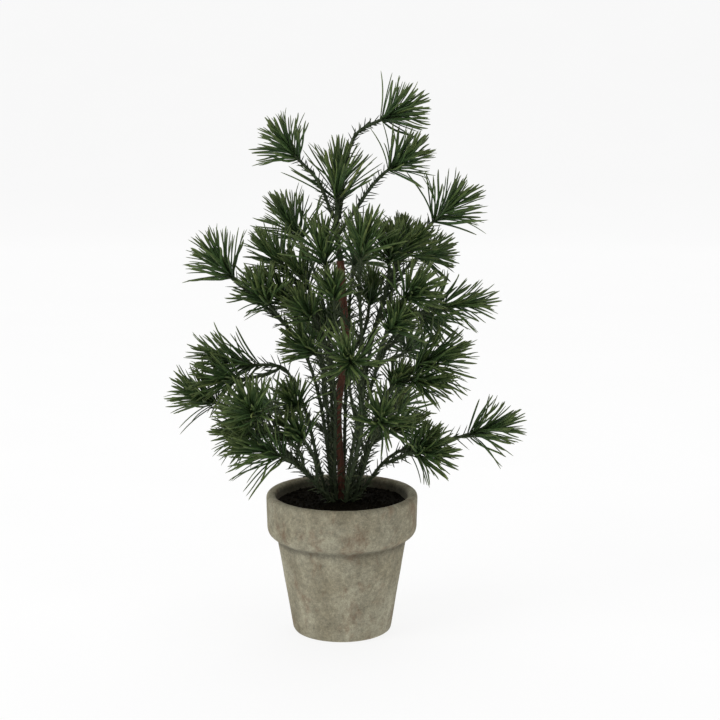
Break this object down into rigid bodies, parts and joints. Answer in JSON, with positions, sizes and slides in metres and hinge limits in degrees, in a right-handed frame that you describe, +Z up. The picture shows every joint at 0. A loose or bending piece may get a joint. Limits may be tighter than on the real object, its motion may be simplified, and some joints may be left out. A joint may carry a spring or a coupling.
{
  "type": "artificial tabletop tree",
  "caption": "Artificial tabletop pine in a round cement pot, with a slim brown trunk and bendable wired sprigs that end in tufts of green needles.",
  "frame": {"origin": "centre of the pot's flat underside", "axes": "+Z up along the pot's axis, -Y to the viewer's side, +X to the viewer's right"},
  "size_m": [0.2775, 0.2123, 0.4263],
  "materials": {
    "cement": "matte",
    "foam": "matte",
    "soil": "matte",
    "floral_tape": "matte",
    "steel_wire": "satin",
    "brown_sleeve": "matte",
    "needle_green": "satin"
  },
  "bodies": {
    "root": {"pot": "cement", "foam_plug": "foam", "soil_layer": "soil", "root_bundle": "floral_tape", "trunk_wire": "steel_wire", "trunk_sleeve": "brown_sleeve", "leader_sprig": "needle_green"},
    "crown_high_branch": {"crown_high_main_sprig": "needle_green"},
    "crown_left_branch": {"crown_left_main_sprig": "needle_green"},
    "crown_right_branch": {"crown_right_main_sprig": "needle_green"},
    "front_branch": {"front_main_sprig": "needle_green"},
    "inner_left_branch": {"inner_left_main_sprig": "needle_green", "inner_left_side_sprig_1": "needle_green"},
    "low_front_branch": {"low_front_main_sprig": "needle_green"},
    "low_left_branch": {"low_left_main_sprig": "needle_green", "low_left_side_sprig_1": "needle_green", "low_left_side_sprig_2": "needle_green"},
    "low_right_branch": {"low_right_main_sprig": "needle_green", "low_right_side_sprig_1": "needle_green", "low_right_side_sprig_2": "needle_green"},
    "lower_left_branch": {"lower_left_main_sprig": "needle_green", "lower_left_side_sprig_1": "needle_green", "lower_left_side_sprig_2": "needle_green", "lower_left_side_sprig_3": "needle_green"},
    "lower_right_branch": {"lower_right_main_sprig": "needle_green", "lower_right_side_sprig_1": "needle_green", "lower_right_side_sprig_2": "needle_green", "lower_right_side_sprig_3": "needle_green"},
    "middle_left_branch": {"middle_left_main_sprig": "needle_green", "middle_left_side_sprig_1": "needle_green"},
    "middle_right_branch": {"middle_right_main_sprig": "needle_green", "middle_right_side_sprig_1": "needle_green", "middle_right_side_sprig_2": "needle_green", "middle_right_side_sprig_3": "needle_green"},
    "rear_left_branch": {"rear_left_main_sprig": "needle_green", "rear_left_side_sprig_1": "needle_green"},
    "rear_right_branch": {"rear_right_main_sprig": "needle_green", "rear_right_side_sprig_1": "needle_green"},
    "upper_back_branch": {"upper_back_main_sprig": "needle_green", "upper_back_side_sprig_1": "needle_green", "upper_back_side_sprig_2": "needle_green"},
    "upper_front_branch": {"upper_front_main_sprig": "needle_green", "upper_front_side_sprig_1": "needle_green", "upper_front_side_sprig_2": "needle_green", "upper_front_side_sprig_3": "needle_green"},
    "upper_left_branch": {"upper_left_main_sprig": "needle_green", "upper_left_side_sprig_1": "needle_green", "upper_left_side_sprig_2": "needle_green"},
    "upper_rear_left_branch": {"upper_rear_left_main_sprig": "needle_green", "upper_rear_left_side_sprig_1": "needle_green", "upper_rear_left_side_sprig_2": "needle_green", "upper_rear_left_side_sprig_3": "needle_green"},
    "upper_right_branch": {"upper_right_main_sprig": "needle_green", "upper_right_side_sprig_1": "needle_green", "upper_right_side_sprig_2": "needle_green", "upper_right_side_sprig_3": "needle_green"}
  },
  "joints": [
    {"name": "crown_high_bend", "type": "hinge", "parent": "root", "child": "crown_high_branch", "pos_m": [-0.00114, 0.00372, 0.333], "axis": [-0.0698, 0.9976, 0], "range_deg": [-8, 15]},
    {"name": "crown_left_bend", "type": "hinge", "parent": "root", "child": "crown_left_branch", "pos_m": [-0.0075, -0.00075, 0.334], "axis": [0.1219, -0.9925, 0], "range_deg": [-12, 15]},
    {"name": "crown_right_bend", "type": "hinge", "parent": "root", "child": "crown_right_branch", "pos_m": [0.00054, -0.00147, 0.322], "axis": [0.2079, 0.9781, 0], "range_deg": [-12, 15]},
    {"name": "front_bend", "type": "hinge", "parent": "root", "child": "front_branch", "pos_m": [0.0034, -0.01046, 0.107], "axis": [0.9903, 0.1392, 0], "range_deg": [-8, 15]},
    {"name": "inner_left_bend", "type": "hinge", "parent": "root", "child": "inner_left_branch", "pos_m": [-0.00418, -0.00498, 0.107], "axis": [0.6947, -0.7193, 0], "range_deg": [-3, 15]},
    {"name": "low_front_bend", "type": "hinge", "parent": "root", "child": "low_front_branch", "pos_m": [0.00901, -0.00631, 0.107], "axis": [0.7771, 0.6293, 0], "range_deg": [-8, 15]},
    {"name": "low_left_bend", "type": "hinge", "parent": "root", "child": "low_left_branch", "pos_m": [-0.00677, -0.00867, 0.107], "axis": [0.5878, -0.809, 0], "range_deg": [-5, 12]},
    {"name": "low_right_bend", "type": "hinge", "parent": "root", "child": "low_right_branch", "pos_m": [0.011, 0, 0.107], "axis": [0.0523, 0.9986, 0], "range_deg": [-10, 12]},
    {"name": "lower_left_bend", "type": "hinge", "parent": "root", "child": "lower_left_branch", "pos_m": [-0.01046, -0.0034, 0.107], "axis": [0.1045, -0.9945, 0], "range_deg": [-4, 12]},
    {"name": "lower_right_bend", "type": "hinge", "parent": "root", "child": "lower_right_branch", "pos_m": [0.00971, 0.00516, 0.107], "axis": [0.1392, 0.9903, 0], "range_deg": [-4, 12]},
    {"name": "middle_left_bend", "type": "hinge", "parent": "root", "child": "middle_left_branch", "pos_m": [-0.01083, 0.00191, 0.107], "axis": [0.0523, -0.9986, 0], "range_deg": [-3, 4]},
    {"name": "middle_right_bend", "type": "hinge", "parent": "root", "child": "middle_right_branch", "pos_m": [0.00563, -0.00325, 0.107], "axis": [0.0698, 0.9976, 0], "range_deg": [-2, 5]},
    {"name": "rear_left_bend", "type": "hinge", "parent": "root", "child": "rear_left_branch", "pos_m": [-0.0055, 0.00953, 0.107], "axis": [-0.9397, -0.342, 0], "range_deg": [-4, 12]},
    {"name": "rear_right_bend", "type": "hinge", "parent": "root", "child": "rear_right_branch", "pos_m": [0.00516, 0.00971, 0.107], "axis": [-0.866, 0.5, 0], "range_deg": [-10, 12]},
    {"name": "upper_back_bend", "type": "hinge", "parent": "root", "child": "upper_back_branch", "pos_m": [0.00113, 0.0064, 0.107], "axis": [-0.9848, 0.1736, 0], "range_deg": [-2, 12]},
    {"name": "upper_front_bend", "type": "hinge", "parent": "root", "child": "upper_front_branch", "pos_m": [0.00275, -0.00589, 0.107], "axis": [0.9135, 0.4067, 0], "range_deg": [-1, 5]},
    {"name": "upper_left_bend", "type": "hinge", "parent": "root", "child": "upper_left_branch", "pos_m": [-0.00648, -0.00057, 0.107], "axis": [0.1219, -0.9925, 0], "range_deg": [-2, 4]},
    {"name": "upper_rear_left_bend", "type": "hinge", "parent": "root", "child": "upper_rear_left_branch", "pos_m": [-0.0046, 0.0046, 0.107], "axis": [-0.7431, -0.6691, 0], "range_deg": [-2, 5]},
    {"name": "upper_right_bend", "type": "hinge", "parent": "root", "child": "upper_right_branch", "pos_m": [0.00644, 0.0009, 0.107], "axis": [-0.1045, 0.9945, 0], "range_deg": [-1, 6]}
  ]
}
